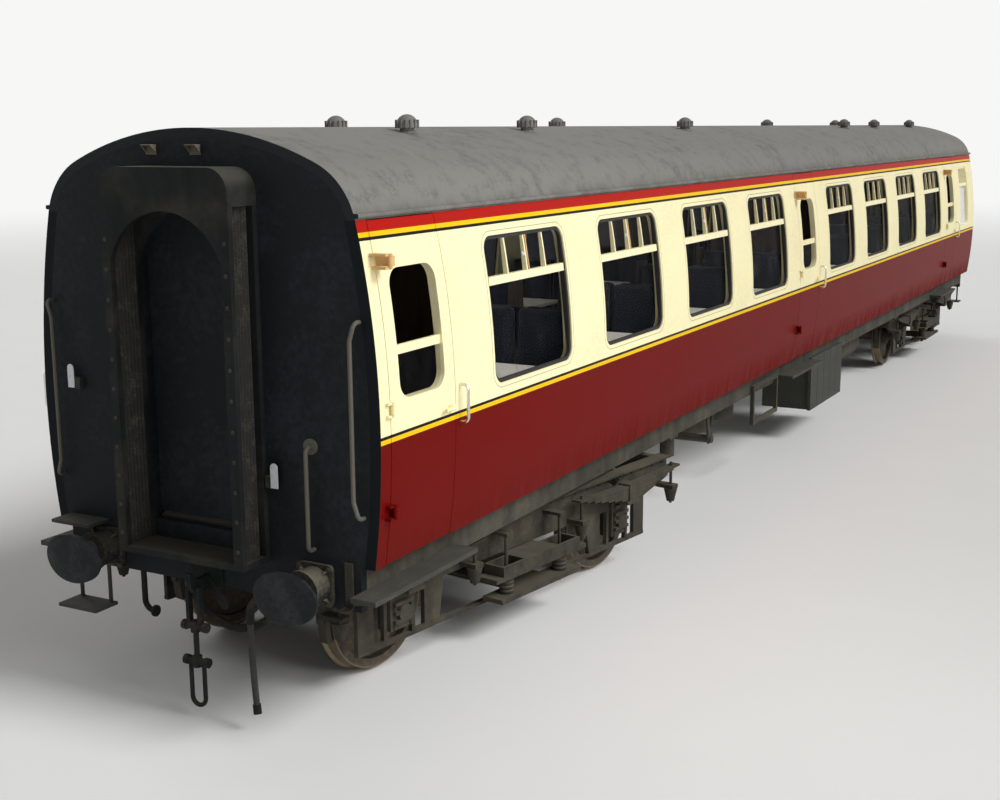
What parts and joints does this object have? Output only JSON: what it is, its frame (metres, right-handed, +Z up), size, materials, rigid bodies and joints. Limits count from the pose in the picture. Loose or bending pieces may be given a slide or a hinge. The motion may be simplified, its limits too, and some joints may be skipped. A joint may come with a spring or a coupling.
{
  "type": "railway passenger coach",
  "caption": "Main-line railway coach with open saloons, hinged side doors and gangways, on swivelling bogies with leaf-sprung flanged wheels.",
  "frame": {"origin": "under the middle of the coach, at the bottom of the wheel flanges", "axes": "+X along the coach away from the end with the hanging hose, +Z up"},
  "size_m": [20.394, 3.0194, 3.9083],
  "materials": {
    "roof_paint": "weathered matt grey",
    "side_paint": "gloss crimson below, cream above, lined in black and yellow",
    "end_paint": "satin black",
    "floor_board": "worn",
    "wood_panel": "varnished",
    "seat_cloth": "woven moquette",
    "table_top": "satin laminate",
    "frame_paint": "gloss cream",
    "window_glass": "clear",
    "underframe_paint": "weathered grey, road dirt",
    "step_board": "weathered timber",
    "gangway_steel": "weathered",
    "bellows_rubber": "matt",
    "buffer_steel": "greased",
    "draw_steel": "rust and grease",
    "pipe_steel": "matt",
    "hose_rubber": "dusty",
    "box_timber": "weathered paint",
    "bright_metal": "polished",
    "bogie_paint": "weathered, brake dust",
    "spring_steel": "dusty",
    "wheel_steel": "worn tread, dusty web"
  },
  "bodies": {
    "coach": {"roof": "roof_paint", "side_front": "side_paint", "side_back": "side_paint", "end_walls": "end_paint", "floor": "floor_board", "partitions": "wood_panel", "seats": "seat_cloth", "tables": "table_top", "window_frames": "frame_paint", "window_glass": "window_glass", "solebars": "underframe_paint", "headstocks": "end_paint", "cross_bearers": "underframe_paint", "footboards": "step_board", "gangway_frames": "gangway_steel", "gangway_bellows": "bellows_rubber", "buffers": "buffer_steel", "draw_hooks": "draw_steel", "brake_pipes": "pipe_steel", "brake_hose": "hose_rubber", "hose_fitting": "pipe_steel", "roof_ventilators": "roof_paint", "battery_boxes": "box_timber", "brake_cylinders": "underframe_paint", "reservoir": "underframe_paint", "brake_rigging": "underframe_paint", "grab_handles": "bright_metal"},
    "door_front_1": {"door_front_1": "side_paint", "door_front_1_glass": "window_glass"},
    "door_front_2": {"door_front_2": "side_paint", "door_front_2_glass": "window_glass"},
    "door_front_3": {"door_front_3": "side_paint", "door_front_3_glass": "window_glass"},
    "door_back_1": {"door_back_1": "side_paint", "door_back_1_glass": "window_glass"},
    "door_back_2": {"door_back_2": "side_paint", "door_back_2_glass": "window_glass"},
    "door_back_3": {"door_back_3": "side_paint", "door_back_3_glass": "window_glass"},
    "end_door_near": {"end_door_near": "end_paint"},
    "screw_coupling_near": {"screw_coupling_near": "draw_steel"},
    "end_door_far": {"end_door_far": "end_paint"},
    "screw_coupling_far": {"screw_coupling_far": "draw_steel"},
    "bogie_near": {"bogie_near_frame": "bogie_paint", "bogie_near_bolster": "bogie_paint", "bogie_near_plank": "bogie_paint", "bogie_near_springs": "spring_steel", "bogie_near_axleboxes": "bogie_paint", "bogie_near_brakes": "bogie_paint"},
    "wheelset_near_outer": {"wheelset_near_outer": "wheel_steel"},
    "wheelset_near_inner": {"wheelset_near_inner": "wheel_steel"},
    "bogie_far": {"bogie_far_frame": "bogie_paint", "bogie_far_bolster": "bogie_paint", "bogie_far_plank": "bogie_paint", "bogie_far_springs": "spring_steel", "bogie_far_axleboxes": "bogie_paint", "bogie_far_brakes": "bogie_paint"},
    "wheelset_far_outer": {"wheelset_far_outer": "wheel_steel"},
    "wheelset_far_inner": {"wheelset_far_inner": "wheel_steel"}
  },
  "joints": [
    {"name": "door_front_1_hinge", "type": "hinge", "parent": "coach", "child": "door_front_1", "pos_m": [-9.715, -1.391, 2.2], "axis": [0, 0, -1], "range_deg": [0, 90]},
    {"name": "door_front_2_hinge", "type": "hinge", "parent": "coach", "child": "door_front_2", "pos_m": [-1.158, -1.391, 2.2], "axis": [0, 0, -1], "range_deg": [0, 90]},
    {"name": "door_front_3_hinge", "type": "hinge", "parent": "coach", "child": "door_front_3", "pos_m": [7.315, -1.391, 2.2], "axis": [0, 0, -1], "range_deg": [0, 90]},
    {"name": "door_back_1_hinge", "type": "hinge", "parent": "coach", "child": "door_back_1", "pos_m": [-8.945, 1.391, 2.2], "axis": [0, 0, -1], "range_deg": [0, 90]},
    {"name": "door_back_2_hinge", "type": "hinge", "parent": "coach", "child": "door_back_2", "pos_m": [-0.388, 1.391, 2.2], "axis": [0, 0, -1], "range_deg": [0, 90]},
    {"name": "door_back_3_hinge", "type": "hinge", "parent": "coach", "child": "door_back_3", "pos_m": [8.085, 1.391, 2.2], "axis": [0, 0, -1], "range_deg": [0, 90]},
    {"name": "end_door_near_hinge", "type": "hinge", "parent": "coach", "child": "end_door_near", "pos_m": [-9.744, 0.48, 2.3], "axis": [0, 0, 1], "range_deg": [0, 85]},
    {"name": "screw_coupling_near_swing", "type": "hinge", "parent": "coach", "child": "screw_coupling_near", "pos_m": [-9.985, 0, 0.89], "axis": [0, 1, 0], "range_deg": [-8, 75]},
    {"name": "end_door_far_hinge", "type": "hinge", "parent": "coach", "child": "end_door_far", "pos_m": [9.744, -0.48, 2.3], "axis": [0, 0, 1], "range_deg": [0, 85]},
    {"name": "screw_coupling_far_swing", "type": "hinge", "parent": "coach", "child": "screw_coupling_far", "pos_m": [9.985, 0, 0.89], "axis": [0, -1, 0], "range_deg": [-8, 75]},
    {"name": "bogie_near_swivel", "type": "hinge", "parent": "coach", "child": "bogie_near", "pos_m": [-7.21, 0, 0.9], "axis": [0, 0, 1], "range_deg": [-1, 19]},
    {"name": "wheelset_near_outer_turn", "type": "hinge", "parent": "bogie_near", "child": "wheelset_near_outer", "pos_m": [-8.60264, 0.22057, 0.485], "axis": [0.1564, 0.9877, 0], "continuous": true},
    {"name": "wheelset_near_inner_turn", "type": "hinge", "parent": "bogie_near", "child": "wheelset_near_inner", "pos_m": [-5.81736, -0.22057, 0.485], "axis": [0.1564, 0.9877, 0], "continuous": true},
    {"name": "bogie_far_swivel", "type": "hinge", "parent": "coach", "child": "bogie_far", "pos_m": [7.21, 0, 0.9], "axis": [0, 0, -1], "range_deg": [-10, 10]},
    {"name": "wheelset_far_outer_turn", "type": "hinge", "parent": "bogie_far", "child": "wheelset_far_outer", "pos_m": [8.62, 0, 0.485], "axis": [0, 1, 0], "continuous": true},
    {"name": "wheelset_far_inner_turn", "type": "hinge", "parent": "bogie_far", "child": "wheelset_far_inner", "pos_m": [5.8, 0, 0.485], "axis": [0, 1, 0], "continuous": true}
  ]
}
